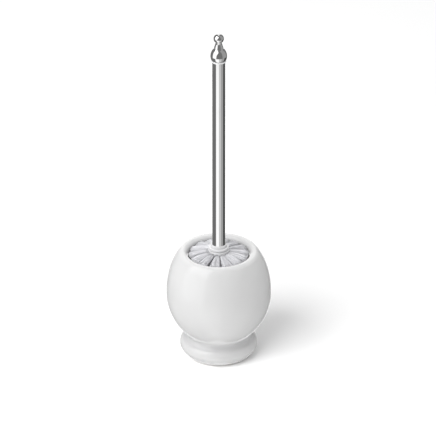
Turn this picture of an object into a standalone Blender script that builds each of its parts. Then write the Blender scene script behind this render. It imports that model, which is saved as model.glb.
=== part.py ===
"""Toilet brush holder: a glazed ceramic globe on a flared foot, with its brush standing inside.

The brush is a moulded head with bristle tufts, a stepped collar, a chromed tube and a turned finial.
The head hangs on a threaded stud that screws into the foot of the tube, and the finial screws into
a plug at the tube's top. Everything is turned about the Z axis. The origin is on that axis, on the
surface that the holder stands on. Lengths are in millimetres, and MM turns them into metres.
"""

from math import asin, cos, pi, radians, sin, tau

import bmesh
import bpy
from mathutils import Vector

MM = 0.001
GAP = 0.3                    # room left between pieces that touch

# Ceramic pot
BOWL_RADIUS = 65.0
BOWL_MID_Z = 85.0            # height of the widest ring
BOWL_RISE = 80.5             # reach of the superellipse above the widest ring
BOWL_RISE_POWER = 2.2
BOWL_DROP = 69.5             # reach below the widest ring
BOWL_DROP_POWER = 1.9
WALL = 6.0
LIP_ROUND = 6.0              # radius of the rolled lip
LIP_RADIUS = 44.5            # from the axis to the middle of the roll
LIP_Z = 137.3
MOUTH_RADIUS = LIP_RADIUS - LIP_ROUND
WAIST_JOIN_Z = 34.0          # where the bowl runs into the hollow of the waist
FOOT_RADIUS = 48.0
FOOT_MID_Z = 14.0
FOOT_RISE = 11.5
FOOT_RISE_POWER = 2.6
FOOT_DROP_POWER = 1.35
FOOT_SHOULDER = radians(58)  # where the foot runs into the hollow of the waist
RING_OUTER = 36.5            # flat ring under the foot
RING_INNER = 28.6
FLOOR_Z = 30.0               # inside of the pot's floor
FLOOR_THICKNESS = 7.0
FLOOR_RADIUS = 22.0

# Pads under the foot
PAD_RADIUS = 3.7
PAD_THICKNESS = 1.2
PAD_COUNT = 4
PAD_ORBIT = (RING_OUTER + RING_INNER) / 2
RING_Z = PAD_THICKNESS + GAP

# Brush head
CORE_RADIUS = 13.0
CORE_TOP_Z = 145.8
CORE_BOTTOM_Z = 38.4
CORE_NOSE = 4.0              # rounding at the lower end
TUFTS_PER_ROW = 14
FIRST_GAP = radians(274)     # plan angle of one gap between the top tufts
ROW_COUNT = 12
TOP_ROW_Z = 141.5
ROW_PITCH = 8.6
TUFT_ROOT_RADIUS = CORE_RADIUS + GAP
TUFT_ROOT_WIDTH = 5.0
TUFT_ROOT_HEIGHT = 4.2
TUFT_TIP_RADIUS = 36.8
TUFT_TIP_WIDTH = 13.4
TUFT_TIP_HEIGHT = 5.4
TUFT_DROOP = 3.6             # how much lower a tuft ends than it starts
ROW_TIP_RADIUS = 33.8        # second row, just under the top one
ROW_TAPER = 0.3              # each lower row is this much shorter
CROWN_RADIUS = 25.0          # end tufts, which the brush stands on
CROWN_TOP_Z = 42.2

# Collar, between the head and the tube
COLLAR_BOTTOM_Z = CORE_TOP_Z + GAP
COLLAR_TOP_Z = 153.2
COLLAR_WEB = 2.2             # floor of the collar, which the tube stands on
BOSS_RADIUS = 9.9
FLANGE_RADIUS = 12.4
FLANGE_BOTTOM_Z = 147.4
FLANGE_TOP_Z = 149.7
GROOVE_RADIUS = 11.3

# Handle tube, its two plugs and the two studs
TUBE_RADIUS = 8.0
TUBE_WALL = 0.8
TUBE_BOTTOM_Z = COLLAR_BOTTOM_Z + COLLAR_WEB + GAP
TUBE_TOP_Z = 405.6
PLUG_RADIUS = TUBE_RADIUS - TUBE_WALL - GAP
PLUG_LENGTH = 20.0
HEAD_STUD_RADIUS = 4.0       # M8
HEAD_STUD_PITCH = 1.25
HEAD_STUD_TURNS = 10
HEAD_STUD_SET = 20.0         # length moulded into the head
FINIAL_STUD_RADIUS = 3.0     # M6
FINIAL_STUD_PITCH = 1.0
FINIAL_STUD_TURNS = 8
FINIAL_STUD_SET = 10.0       # length held in the finial

# Washer and finial
WASHER_RADIUS = 9.2
WASHER_THICKNESS = 2.2
WASHER_ROUND = 0.8
WASHER_BOTTOM_Z = TUBE_TOP_Z + GAP
FINIAL_BOTTOM_Z = WASHER_BOTTOM_Z + WASHER_THICKNESS + GAP
FINIAL_BASE_RADIUS = 8.7
BULB_RADIUS = 10.3
BULB_DROP = 5.5              # from the widest ring of the bulb to its base
BULB_RISE = 9.0
BULB_RISE_POWER = 1.7
BULB_SHOULDER = 5.6
NECK_FOOT_RADIUS, NECK_FOOT = 5.5, 17.4     # heights here are above the finial's base
NECK_RADIUS, NECK_TOP = 3.6, 23.9
BALL_RADIUS = 6.4
BALL_HALF_HEIGHT = 5.8
BALL_DROP_POWER = 2.4        # the lower half of the ball is fuller than the upper
BALL_MID = 29.0

POT_SEGMENTS = 48
ROUND_SEGMENTS = 28
STUD_SEGMENTS = 16


def material(name, colour, roughness, metallic=0.0):
    """A Principled material."""
    look = bpy.data.materials.new(name)
    look.use_nodes = True
    shader = look.node_tree.nodes["Principled BSDF"]
    shader.inputs["Base Color"].default_value = (*colour, 1.0)
    shader.inputs["Roughness"].default_value = roughness
    shader.inputs["Metallic"].default_value = metallic
    return look


def arc(middle, reach, start, stop, count, power=2.0):
    """Points on the superellipse |x/a|^n + |z/b|^n = 1 about a middle; angles run from +X to +Z."""
    points = []
    for step in range(count):
        angle = start + (stop - start) * step / (count - 1)
        across = abs(cos(angle)) ** (2 / power)
        up = abs(sin(angle)) ** (2 / power)
        if cos(angle) < 0:
            across = -across
        if sin(angle) < 0:
            up = -up
        points.append((middle[0] + reach[0] * across, middle[1] + reach[1] * up))
    return points


def arc_angle(share, power):
    """The angle at which such an arc has climbed this share of its reach."""
    return asin(share ** (power / 2))


def blend(before, after, count, pull=0.45):
    """Points of a cubic that leaves one run of points and enters the next without a corner."""
    start, end = Vector(before[-1]), Vector(after[0])
    length = (end - start).length * pull
    leave = start + (start - Vector(before[-2])).normalized() * length
    enter = end - (Vector(after[1]) - end).normalized() * length
    points = []
    for step in range(1, count + 1):
        t = step / (count + 1)
        s = 1 - t
        points.append(tuple(s**3 * start + 3 * s * s * t * leave + 3 * s * t * t * enter + t**3 * end))
    return points


def add_object(name, bm, look, parent=None):
    """Turn a bmesh into a smooth-shaded object with one material."""
    bmesh.ops.recalc_face_normals(bm, faces=bm.faces)
    mesh = bpy.data.meshes.new(name)
    bm.to_mesh(mesh)
    bm.free()
    mesh.shade_smooth()
    mesh.set_sharp_from_angle(angle=radians(35))
    mesh.materials.append(look)
    return place(name, mesh, parent)


def place(name, mesh, parent=None):
    """Link an object for this mesh, under an empty if one is given."""
    thing = bpy.data.objects.new(name, mesh)
    bpy.context.collection.objects.link(thing)
    thing.parent = parent
    return thing


def axis_empty(name):
    """An empty on the Z axis, which the pieces that move together hang from."""
    return place(name, None)


def turned(name, outline, segments, look, parent=None):
    """Spin a (radius, height) outline about the Z axis.

    An outline that starts and ends on the axis makes a solid piece; any other is closed into a ring.
    """
    bm = bmesh.new()
    verts = [bm.verts.new((radius * MM, 0, height * MM)) for radius, height in outline]
    pairs = list(zip(verts, verts[1:]))
    if outline[0][0] > 0:
        pairs.append((verts[-1], verts[0]))
    edges = [bm.edges.new(pair) for pair in pairs]
    bmesh.ops.spin(
        bm, geom=verts + edges, cent=(0, 0, 0), axis=(0, 0, 1), angle=tau, steps=segments, use_merge=True
    )
    bmesh.ops.remove_doubles(bm, verts=bm.verts, dist=0.000001)
    return add_object(name, bm, look, parent)


def rod_outline(radius, bottom, top, bevel=0.6):
    """A solid cylinder with a small chamfer at both ends."""
    return [
        (0, bottom), (radius - bevel, bottom), (radius, bottom + bevel),
        (radius, top - bevel), (radius - bevel, top), (0, top),
    ]


def blind_plug_outline(radius, bottom, top, bore, depth, opens_up):
    """A cylinder with a blind bore in its top or its bottom."""
    if opens_up:
        return [(0, bottom), (radius, bottom), (radius, top), (bore, top), (bore, top - depth), (0, top - depth)]
    return [(0, bottom + depth), (bore, bottom + depth), (bore, bottom), (radius, bottom), (radius, top), (0, top)]


def pot_outline():
    """From the middle of the underside, out round the foot, up the bowl, over the lip and down inside."""
    quarter = pi / 2
    bowl_middle = (0, BOWL_MID_Z)
    under_z = FLOOR_Z - FLOOR_THICKNESS
    underside = [
        (0, under_z), (FLOOR_RADIUS, under_z), (RING_INNER - 2, under_z - 2), (RING_INNER - 0.6, under_z - 6),
        (RING_INNER, RING_Z + 0.8), (RING_INNER + 0.8, RING_Z),
    ]
    foot_width = FOOT_RADIUS - RING_OUTER
    foot_low = arc(
        (RING_OUTER, FOOT_MID_Z), (foot_width, FOOT_MID_Z - RING_Z), -quarter, 0, 6, FOOT_DROP_POWER
    )
    foot_high = arc((RING_OUTER, FOOT_MID_Z), (foot_width, FOOT_RISE), 0, FOOT_SHOULDER, 5, FOOT_RISE_POWER)
    join = arc_angle((BOWL_MID_Z - WAIST_JOIN_Z) / BOWL_DROP, BOWL_DROP_POWER)
    bowl_low = arc(bowl_middle, (BOWL_RADIUS, BOWL_DROP), -join, 0, 8, BOWL_DROP_POWER)
    top = arc_angle((LIP_Z + 1.5 - BOWL_MID_Z) / BOWL_RISE, BOWL_RISE_POWER)
    bowl_high = arc(bowl_middle, (BOWL_RADIUS, BOWL_RISE), 0, top, 8, BOWL_RISE_POWER)
    lip = arc((LIP_RADIUS, LIP_Z), (LIP_ROUND, LIP_ROUND), radians(50), pi, 9)
    inner_radius = BOWL_RADIUS - WALL
    inner_top = arc_angle(0.36, BOWL_RISE_POWER)
    inner_high = arc(bowl_middle, (inner_radius, BOWL_RISE - WALL), inner_top, 0, 4, BOWL_RISE_POWER)
    inner_bottom = arc_angle((BOWL_MID_Z - FLOOR_Z - 6) / (BOWL_DROP - WALL), BOWL_DROP_POWER)
    inner_low = arc(bowl_middle, (inner_radius, BOWL_DROP - WALL), 0, -inner_bottom, 7, BOWL_DROP_POWER)
    floor = [(FLOOR_RADIUS, FLOOR_Z), (0, FLOOR_Z)]
    return (
        underside + foot_low + foot_high[1:] + blend(foot_high, bowl_low, 4)
        + bowl_low + bowl_high[1:] + blend(bowl_high, lip, 1)
        + lip + blend(lip, inner_high, 4) + inner_high + inner_low[1:] + blend(inner_low, floor, 3) + floor
    )


def make_pads(look):
    """Round pads stuck at even spaces under the foot ring."""
    for number in range(PAD_COUNT):
        angle = tau * (number + 0.5) / PAD_COUNT
        pad = turned(f"base_pad_{number + 1}", rod_outline(PAD_RADIUS, 0, PAD_THICKNESS, 0.2), STUD_SEGMENTS, look)
        pad.location = (PAD_ORBIT * MM * cos(angle), PAD_ORBIT * MM * sin(angle), 0)


def core_outline():
    """Head core: a rounded nose below, a crisp shoulder above and a bore for the moulded-in stud."""
    bore = HEAD_STUD_RADIUS + GAP
    bore_bottom = CORE_TOP_Z - HEAD_STUD_SET - GAP
    nose = arc((CORE_RADIUS - CORE_NOSE, CORE_BOTTOM_Z + CORE_NOSE), (CORE_NOSE, CORE_NOSE), -pi / 2, 0, 4)
    return (
        [(0, CORE_BOTTOM_Z)] + nose
        + [(CORE_RADIUS, CORE_TOP_Z - 0.6), (CORE_RADIUS - 0.6, CORE_TOP_Z)]
        + [(bore, CORE_TOP_Z), (bore, bore_bottom), (0, bore_bottom)]
    )


def tuft_mesh(look):
    """One tuft along +X: a bundle that spreads and droops from its hole in the core to its tip."""
    sides = 8
    bm = bmesh.new()
    rings = []
    for share in (0.0, 0.45, 1.0):
        radius = TUFT_ROOT_RADIUS + (TUFT_TIP_RADIUS - TUFT_ROOT_RADIUS) * share
        width = TUFT_ROOT_WIDTH + (TUFT_TIP_WIDTH - TUFT_ROOT_WIDTH) * share
        height = TUFT_ROOT_HEIGHT + (TUFT_TIP_HEIGHT - TUFT_ROOT_HEIGHT) * share
        middle = (0, TOP_ROW_Z - TUFT_DROOP * share * share)
        section = arc(middle, (width / 2, height / 2), 0, tau, sides + 1)[:-1]
        rings.append([bm.verts.new((radius * MM, y * MM, z * MM)) for y, z in section])
    for ring, following in zip(rings, rings[1:]):
        for side in range(sides):
            after = (side + 1) % sides
            bm.faces.new((ring[side], ring[after], following[after], following[side]))
    bm.faces.new(rings[0])
    bm.faces.new(rings[-1])
    tuft = add_object("bristle_tuft_1", bm, look)
    return tuft


def make_top_tufts(look, parent):
    """The top row is separate tufts that share one mesh, each turned to its own place."""
    first = tuft_mesh(look)
    first.parent = parent
    spacing = tau / TUFTS_PER_ROW
    tufts = [first]
    for number in range(2, TUFTS_PER_ROW + 1):
        tufts.append(place(f"bristle_tuft_{number}", first.data, parent))
    for number, tuft in enumerate(tufts):
        tuft.rotation_euler.z = FIRST_GAP + spacing * (number + 0.5)


def bristle_row(name, row, look, parent):
    """A lower row: a ring with one lobe for each tuft, half a space round from the row above."""
    spacing = tau / TUFTS_PER_ROW
    middle_z = TOP_ROW_Z - ROW_PITCH * row
    tip_z = middle_z - TUFT_DROOP
    tip_radius = ROW_TIP_RADIUS - ROW_TAPER * (row - 1)
    valley = CORE_RADIUS + 6
    half_tip = 0.28 * spacing
    bm = bmesh.new()
    columns = []
    for number in range(TUFTS_PER_ROW):
        start = FIRST_GAP + spacing * (number + row / 2)
        for angle, radius in ((0, valley), (spacing / 2 - half_tip, tip_radius), (spacing / 2 + half_tip, tip_radius)):
            turn = start + angle
            outer_z = middle_z if radius == valley else tip_z
            half = (TUFT_ROOT_HEIGHT if radius == valley else TUFT_TIP_HEIGHT) / 2
            corners = (
                (TUFT_ROOT_RADIUS, middle_z - TUFT_ROOT_HEIGHT / 2), (radius, outer_z - half),
                (radius, outer_z + half), (TUFT_ROOT_RADIUS, middle_z + TUFT_ROOT_HEIGHT / 2),
            )
            columns.append([bm.verts.new((r * cos(turn) * MM, r * sin(turn) * MM, z * MM)) for r, z in corners])
    for number, column in enumerate(columns):
        following = columns[(number + 1) % len(columns)]
        for corner in range(4):
            after = (corner + 1) % 4
            bm.faces.new((column[corner], column[after], following[after], following[corner]))
    add_object(name, bm, look, parent)


def crown_outline():
    """The end tufts: a splayed cup round the core's nose, cut flat where the brush stands."""
    inner = arc(
        (CORE_RADIUS - CORE_NOSE, CORE_BOTTOM_Z + CORE_NOSE), (CORE_NOSE + GAP, CORE_NOSE + GAP), 0, -pi / 2, 4
    )
    bottom = FLOOR_Z + GAP
    outer = [(0, bottom), (FLOOR_RADIUS - 4, bottom), (CROWN_RADIUS, bottom + 4.5), (CROWN_RADIUS - 1, bottom + 8)]
    return outer + [(TUFT_ROOT_RADIUS + 2, CROWN_TOP_Z)] + inner + [(0, CORE_BOTTOM_Z - GAP)]


def collar_outline():
    """Stepped ring: a web for the tube to stand on, a flange, a groove above and below it, and a boss."""
    bore = TUBE_RADIUS + GAP
    web_top = COLLAR_BOTTOM_Z + COLLAR_WEB
    edge = 0.5
    return [
        (HEAD_STUD_RADIUS + GAP, COLLAR_BOTTOM_Z), (GROOVE_RADIUS, COLLAR_BOTTOM_Z),
        (GROOVE_RADIUS, FLANGE_BOTTOM_Z), (FLANGE_RADIUS - edge, FLANGE_BOTTOM_Z),
        (FLANGE_RADIUS, FLANGE_BOTTOM_Z + edge), (FLANGE_RADIUS, FLANGE_TOP_Z - edge),
        (FLANGE_RADIUS - edge, FLANGE_TOP_Z), (BOSS_RADIUS - 0.4, FLANGE_TOP_Z),
        (BOSS_RADIUS - 0.4, FLANGE_TOP_Z + 0.5), (BOSS_RADIUS, FLANGE_TOP_Z + 0.7),
        (BOSS_RADIUS, COLLAR_TOP_Z - edge), (BOSS_RADIUS - edge, COLLAR_TOP_Z),
        (bore, COLLAR_TOP_Z), (bore, web_top), (HEAD_STUD_RADIUS + GAP, web_top),
    ]


def tube_outline():
    """Plain thin tube."""
    inner = TUBE_RADIUS - TUBE_WALL
    return [
        (inner, TUBE_BOTTOM_Z), (TUBE_RADIUS, TUBE_BOTTOM_Z), (TUBE_RADIUS, TUBE_TOP_Z), (inner, TUBE_TOP_Z)
    ]


def washer_outline():
    """Flat washer with a rounded rim."""
    hole = FINIAL_STUD_RADIUS + GAP
    top = WASHER_BOTTOM_Z + WASHER_THICKNESS
    rim = WASHER_RADIUS - WASHER_ROUND
    reach = (WASHER_ROUND, WASHER_ROUND)
    lower = arc((rim, WASHER_BOTTOM_Z + WASHER_ROUND), reach, -pi / 2, 0, 4)
    upper = arc((rim, top - WASHER_ROUND), reach, 0, pi / 2, 4)
    return [(hole, WASHER_BOTTOM_Z)] + lower + upper + [(hole, top)]


def finial_outline():
    """Bulb, tapering neck and slightly flattened ball, with a blind bore for the stud."""
    base = FINIAL_BOTTOM_Z
    bulb_z = base + BULB_DROP
    bore = FINIAL_STUD_RADIUS + GAP
    bore_top = base + FINIAL_STUD_SET + GAP
    bulb_low = arc(
        (FINIAL_BASE_RADIUS, bulb_z), (BULB_RADIUS - FINIAL_BASE_RADIUS, BULB_DROP), -pi / 2, 0, 5
    )
    bulb_high = arc(
        (BULB_SHOULDER, bulb_z), (BULB_RADIUS - BULB_SHOULDER, BULB_RISE), 0, radians(75), 7, BULB_RISE_POWER
    )
    neck = [(NECK_FOOT_RADIUS, base + NECK_FOOT), (NECK_RADIUS, base + NECK_TOP)]
    ball_mid = (0, base + BALL_MID)
    ball_reach = (BALL_RADIUS, BALL_HALF_HEIGHT)
    ball_start = -arc_angle((BALL_MID - NECK_TOP) / BALL_HALF_HEIGHT, BALL_DROP_POWER) + 0.1
    ball_low = arc(ball_mid, ball_reach, ball_start, 0, 5, BALL_DROP_POWER)
    ball_high = arc(ball_mid, ball_reach, 0, pi / 2, 6)
    ball_high[-1] = (0, base + BALL_MID + BALL_HALF_HEIGHT)
    return (
        [(0, bore_top), (bore, bore_top), (bore, base)] + bulb_low + bulb_high[1:]
        + blend(bulb_high, neck, 2) + neck + ball_low + ball_high[1:]
    )


def main():
    for thing in list(bpy.data.objects):
        bpy.data.objects.remove(thing)

    glaze = material("glazed_ceramic", (0.86, 0.86, 0.85), 0.08)
    foam = material("pad_foam", (0.80, 0.80, 0.79), 0.9)
    white_plastic = material("white_plastic", (0.80, 0.80, 0.80), 0.4)
    nylon = material("bristle_nylon", (0.78, 0.79, 0.83), 0.5)
    chrome = material("chrome", (0.80, 0.80, 0.80), 0.05, 1.0)
    zinc = material("zinc_steel", (0.62, 0.63, 0.65), 0.3, 1.0)

    turned("holder_pot", pot_outline(), POT_SEGMENTS, glaze)
    make_pads(foam)

    brush = axis_empty("brush_axis")
    turned("head_core", core_outline(), ROUND_SEGMENTS, white_plastic, brush)
    stud_bottom = CORE_TOP_Z - HEAD_STUD_SET
    stud_top = TUBE_BOTTOM_Z + HEAD_STUD_PITCH * HEAD_STUD_TURNS
    turned("head_stud", rod_outline(HEAD_STUD_RADIUS, stud_bottom, stud_top), STUD_SEGMENTS, zinc, brush)
    make_top_tufts(nylon, brush)
    for row in range(1, ROW_COUNT):
        bristle_row(f"bristle_row_{row + 1}", row, nylon, brush)
    turned("bristle_crown", crown_outline(), TUFTS_PER_ROW * 2, nylon, brush)

    collar = axis_empty("collar_axis")
    turned("collar", collar_outline(), ROUND_SEGMENTS, white_plastic, collar)

    handle = axis_empty("handle_axis")
    turned("handle_tube", tube_outline(), ROUND_SEGMENTS, chrome, handle)
    lower_plug = blind_plug_outline(
        PLUG_RADIUS, TUBE_BOTTOM_Z, TUBE_BOTTOM_Z + PLUG_LENGTH, HEAD_STUD_RADIUS + GAP, PLUG_LENGTH - 4, False
    )
    turned("tube_bottom_plug", lower_plug, ROUND_SEGMENTS, white_plastic, handle)
    upper_plug = blind_plug_outline(
        PLUG_RADIUS, TUBE_TOP_Z - PLUG_LENGTH, TUBE_TOP_Z, FINIAL_STUD_RADIUS + GAP, PLUG_LENGTH - 4, True
    )
    turned("tube_top_plug", upper_plug, ROUND_SEGMENTS, white_plastic, handle)

    washer = axis_empty("washer_axis")
    turned("finial_washer", washer_outline(), ROUND_SEGMENTS, white_plastic, washer)

    finial = axis_empty("finial_axis")
    turned("finial", finial_outline(), ROUND_SEGMENTS, chrome, finial)
    stud_bottom = TUBE_TOP_Z - FINIAL_STUD_PITCH * FINIAL_STUD_TURNS
    stud_top = FINIAL_BOTTOM_Z + FINIAL_STUD_SET
    turned("finial_stud", rod_outline(FINIAL_STUD_RADIUS, stud_bottom, stud_top), STUD_SEGMENTS, zinc, finial)


main()
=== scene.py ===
# %% [markdown]
# # A toilet brush in its glazed globe
#
# The mechanical model of this object is finished before this lesson starts: a ceramic pot, a brush
# head that lifts out of it, a collar, a handle that unscrews from the head, and a finial that
# unscrews from the handle. Its solids are plain and faceted. Here each of them gets the surface a
# person would see and touch, in the same frame, so that everything still moves as it should.
#
# The first cell loads those solids as a fixed frame. The box around them is kept, because nothing
# that is made here may be larger than the object really is.

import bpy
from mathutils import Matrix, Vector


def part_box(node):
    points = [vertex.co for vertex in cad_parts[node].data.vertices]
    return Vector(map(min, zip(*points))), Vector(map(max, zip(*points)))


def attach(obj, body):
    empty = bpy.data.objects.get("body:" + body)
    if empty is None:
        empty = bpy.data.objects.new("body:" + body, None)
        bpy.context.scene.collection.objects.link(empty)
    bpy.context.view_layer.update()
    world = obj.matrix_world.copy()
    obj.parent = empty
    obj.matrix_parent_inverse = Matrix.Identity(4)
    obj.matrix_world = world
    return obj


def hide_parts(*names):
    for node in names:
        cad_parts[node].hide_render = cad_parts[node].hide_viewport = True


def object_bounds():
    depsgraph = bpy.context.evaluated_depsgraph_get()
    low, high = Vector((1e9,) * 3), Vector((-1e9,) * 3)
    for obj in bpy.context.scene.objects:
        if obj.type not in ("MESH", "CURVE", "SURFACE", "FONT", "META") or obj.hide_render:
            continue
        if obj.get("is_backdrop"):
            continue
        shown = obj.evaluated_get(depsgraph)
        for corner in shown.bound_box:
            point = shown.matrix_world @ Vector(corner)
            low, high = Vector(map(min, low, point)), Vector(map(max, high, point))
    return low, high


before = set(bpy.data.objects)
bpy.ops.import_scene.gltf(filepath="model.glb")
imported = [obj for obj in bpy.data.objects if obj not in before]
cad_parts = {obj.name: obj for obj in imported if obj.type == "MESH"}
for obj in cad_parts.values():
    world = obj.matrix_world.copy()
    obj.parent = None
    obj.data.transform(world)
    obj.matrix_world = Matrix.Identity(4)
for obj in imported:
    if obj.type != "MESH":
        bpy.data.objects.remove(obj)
cad_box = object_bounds()
cad_size = [round(side * 1000, 1) for side in cad_box[1] - cad_box[0]]
print("nodes:", len(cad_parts), "box in mm:", cad_size)

# %% Tools and units
from math import asin, cos, pi, radians, sin, tan, tau

import bpy
import numpy as np
from mathutils import Vector

MM = 0.001


def smooth_step(low, high, value):
    """0 at low, 1 at high, and 3t^2 - 2t^3 in between; low may be the larger one."""
    share = np.clip((value - low) / (high - low), 0, 1)
    return share * share * (3 - 2 * share)


def grey(level):
    """The light that a screen grey from 0 to 255 stands for, from 0 to 1."""
    share = level / 255
    return share / 12.92 if share <= 0.04045 else ((share + 0.055) / 1.055) ** 2.4


def paint(level, red=0, blue=0):
    """A colour of that screen grey, nudged in red and blue."""
    return (grey(level + red), grey(level), grey(level + blue), 1.0)


# %% [markdown]
# ## The camera
#
# A catalogue picture of a slim, tall thing is taken from far away with a long lens, so that the
# handle's two sides stay parallel. The camera stands ten metres off, looks down by a little under
# thirty degrees, and sees a field about half a metre wide. It is aimed at a point on the handle, so
# the lens needs no shift.

# %% Camera
CAMERA_DISTANCE = 10.0
CAMERA_ELEVATION = radians(28.77)
LOOK_FROM_HEIGHT = 85 * MM      # the elevation is measured from the middle of the globe
AIM = Vector((-0.9 * MM, 0, 188.9 * MM))
FIELD_WIDTH = 540.6 * MM        # what the picture is wide, at the object
SENSOR_WIDTH = 36.0

camera_data = bpy.data.cameras.new("camera")
camera = bpy.data.objects.new("camera", camera_data)
bpy.context.scene.collection.objects.link(camera)
camera_data.sensor_width = SENSOR_WIDTH
camera_data.lens = SENSOR_WIDTH * CAMERA_DISTANCE / FIELD_WIDTH
camera_data.clip_end = 40.0
camera.location = (
    AIM.x,
    -CAMERA_DISTANCE * cos(CAMERA_ELEVATION),
    LOOK_FROM_HEIGHT + CAMERA_DISTANCE * sin(CAMERA_ELEVATION),
)
camera.rotation_euler = (AIM - camera.location).to_track_quat("-Z", "Y").to_euler()
bpy.context.scene.camera = camera
bpy.context.scene.view_settings.view_transform = "Standard"
print("lens", round(camera_data.lens), "mm, camera at", [round(x, 2) for x in camera.location])

# %% [markdown]
# ## Surfaces from numbers
#
# Almost everything here was turned, drawn or moulded round one axis, and the rest is thousands of
# thin bristles. Both are tubes of points: rings that follow one another along a profile or a path.
# So one function puts faces over rings, and every piece is a formula for its points.
#
# Spinning a profile with a modifier would give the same pots and knobs, but not the screw threads
# and bristles, and one way of working is easier to learn than three.

# %% Faces over rings
def skin(rings, first=None, last=None, loop=False):
    """Points, quads and triangles over tubes of points: rings[t, i, j] is point j of ring i of tube t.

    Going round (j) crossed with going along (i) points outwards. A tube closes on itself where loop
    is true. Otherwise it closes at one point at each end, first[t] and last[t].
    """
    tubes, count, around = rings.shape[:3]
    index = np.arange(tubes * count * around).reshape(tubes, count, around)
    if loop:
        index = np.concatenate([index, index[:, :1]], axis=1)
    after = np.roll(index, -1, axis=2)
    quads = np.stack([index[:, :-1], after[:, :-1], after[:, 1:], index[:, 1:]], axis=-1).reshape(-1, 4)
    points = rings.reshape(-1, 3)
    if loop:
        return points, quads, np.empty((0, 3), int)
    poles = len(points) + np.arange(2 * tubes).reshape(2, tubes, 1)
    poles = np.broadcast_to(poles, (2, tubes, around))
    start = np.stack([poles[0], after[:, 0], index[:, 0]], axis=-1)
    stop = np.stack([index[:, -1], after[:, -1], poles[1]], axis=-1)
    triangles = np.concatenate([start, stop]).reshape(-1, 3)
    return np.vstack([points, first, last]), quads, triangles


def polar(radius, height, turn):
    """x = r cos a, y = r sin a, z = h, as one array of points."""
    return np.stack(np.broadcast_arrays(radius * np.cos(turn), radius * np.sin(turn), height), axis=-1)


def turned(outline, segments=256, change=None):
    """Carry an outline of (radius, height) in mm once round the Z axis.

    An outline that starts and ends on the axis closes there, and any other closes on itself.
    change(radius, height, turn) may return other radii, as for a screw thread.
    """
    outline = np.asarray(outline, float)
    solid = outline[0, 0] == 0
    rim = outline[1:-1] if solid else outline
    turn = tau * np.arange(segments) / segments
    radius = np.repeat(rim[:, :1], segments, axis=1)
    if change:
        radius = change(radius, rim[:, 1:], turn)
    rings = polar(radius, rim[:, 1:], turn)[None] * MM
    ends = np.array([[0, 0, outline[0, 1]], [0, 0, outline[-1, 1]]]) * MM
    return skin(rings, ends[:1], ends[1:], loop=not solid)


def make_mesh(name, shape, look, values=None):
    """A smooth mesh object of a shape, with one material and, if given, a number for each point by name."""
    points, quads, triangles = shape
    corners = np.concatenate([quads.ravel(), triangles.ravel()])
    sizes = np.repeat([4, 3], [len(quads), len(triangles)])
    mesh = bpy.data.meshes.new(name)
    mesh.vertices.add(len(points))
    mesh.vertices.foreach_set("co", points.astype(np.float32).ravel())
    mesh.loops.add(len(corners))
    mesh.loops.foreach_set("vertex_index", corners.astype(np.int32))
    mesh.polygons.add(len(sizes))
    mesh.polygons.foreach_set("loop_start", (np.cumsum(sizes) - sizes).astype(np.int32))
    for key, numbers in (values or {}).items():
        mesh.attributes.new(key, "FLOAT", "POINT").data.foreach_set("value", numbers.astype(np.float32))
    mesh.update(calc_edges=True)
    mesh.shade_smooth()
    mesh.materials.append(look)
    thing = bpy.data.objects.new(name, mesh)
    bpy.context.scene.collection.objects.link(thing)
    return thing


def add_piece(name, shape, look, body, node, values=None):
    """One finished piece: it rides a body, stands for a CAD node and takes the material it is given.

    It stays out of reflections, so that chrome shows the cards alone.
    """
    piece = make_mesh(name, shape, look, values)
    piece.visible_glossy = False
    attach(piece, body)
    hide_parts(node)
    print(f"{name}: {2 * len(shape[1]) + len(shape[2])} triangles for {node} on {body}")
    return piece


# %% [markdown]
# ## Outlines
#
# A turned piece is only as good as its outline. Three kinds of run are enough for this object: an
# arc of a superellipse for the full curves of the pot and the bulb, a cubic that leads from one run
# into the next without a corner, and a row of corners with small fillets for what was cut or
# moulded. Real edges always have such a fillet, and it is what catches the light.

# %% Runs of an outline
def arc(middle, reach, start, stop, count, power=2.0):
    """Points on |x/a|^n + |z/b|^n = 1 about a middle, for angles from +X towards +Z."""
    angle = np.linspace(start, stop, count)
    across = np.sign(np.cos(angle)) * np.abs(np.cos(angle)) ** (2 / power)
    up = np.sign(np.sin(angle)) * np.abs(np.sin(angle)) ** (2 / power)
    return np.stack([middle[0] + reach[0] * across, middle[1] + reach[1] * up], axis=1)


def arc_angle(share, power):
    """The angle at which such an arc has climbed this share of its reach."""
    return asin(share ** (power / 2))


def blend(before, after, count, pull=0.45):
    """Cubic from the end of one run to the start of the next, leaving and arriving along both."""
    start, end = before[-1], after[0]
    reach = np.linalg.norm(end - start) * pull
    leave = start + reach * (start - before[-2]) / np.linalg.norm(start - before[-2])
    enter = end - reach * (after[1] - end) / np.linalg.norm(after[1] - end)
    t = np.linspace(0, 1, count + 2)[1:-1, None]
    s = 1 - t
    return s**3 * start + 3 * s * s * t * leave + 3 * s * t * t * enter + t**3 * end


def filleted(corners, closed=True, steps=5):
    """An outline through (radius, height, fillet) corners, each rounded by the curve
    P(t) = (1 - t)^2 A + 2 t (1 - t) C + t^2 B, where A and B lie one fillet away from the corner C.

    One more point a little way out on both sides keeps the flats flat when they are shaded smooth.
    """
    corners = np.asarray(corners, float)
    place, fillet = corners[:, :2], corners[:, 2:]
    back = np.roll(place, 1, axis=0) - place
    ahead = np.roll(place, -1, axis=0) - place
    back = back / np.linalg.norm(back, axis=1, keepdims=True) * fillet
    ahead = ahead / np.linalg.norm(ahead, axis=1, keepdims=True) * fillet
    t = np.linspace(0, 1, steps)[:, None, None]
    curve = place + (1 - t) ** 2 * back + t**2 * ahead
    guard = 1.25
    rows = np.concatenate([(place + guard * back)[None], curve, (place + guard * ahead)[None]])
    rows = np.moveaxis(rows, 0, 1)
    if closed:
        return rows.reshape(-1, 2)
    return np.concatenate([place[:1], rows[1:-1].reshape(-1, 2), place[-1:]])


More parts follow.
